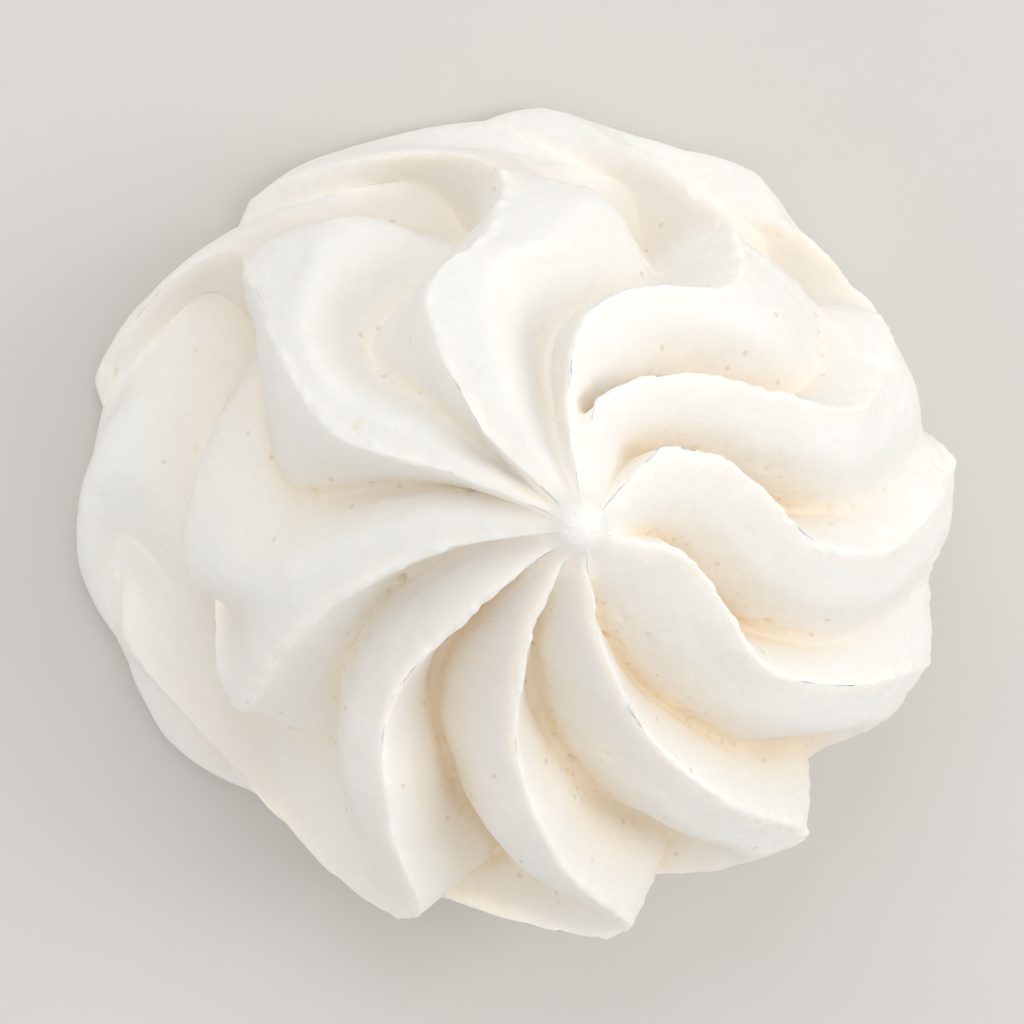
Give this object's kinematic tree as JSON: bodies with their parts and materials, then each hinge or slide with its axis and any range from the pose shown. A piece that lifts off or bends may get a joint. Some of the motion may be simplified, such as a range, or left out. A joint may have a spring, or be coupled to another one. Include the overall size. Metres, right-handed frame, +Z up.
{
  "type": "meringue cookie",
  "caption": "Piped meringue cookie with swirled ridges from a small peak, a skirt of tongues over a wider lower tier, and a flat base.",
  "frame": {"origin": "middle of the footprint's bounding box, on the surface the meringue stands on", "axes": "+Z up through the peak; the skirt of pointed tongues is on the -Y side, and the ridges wind counter-clockwise on their way down there, seen from above"},
  "size_m": [0.0538, 0.0512, 0.0385],
  "materials": {
    "meringue": "matt warm white baked egg white and sugar, with fine pores and slightly toasted creases"
  },
  "bodies": {
    "root": {"meringue": "meringue"}
  },
  "joints": []
}
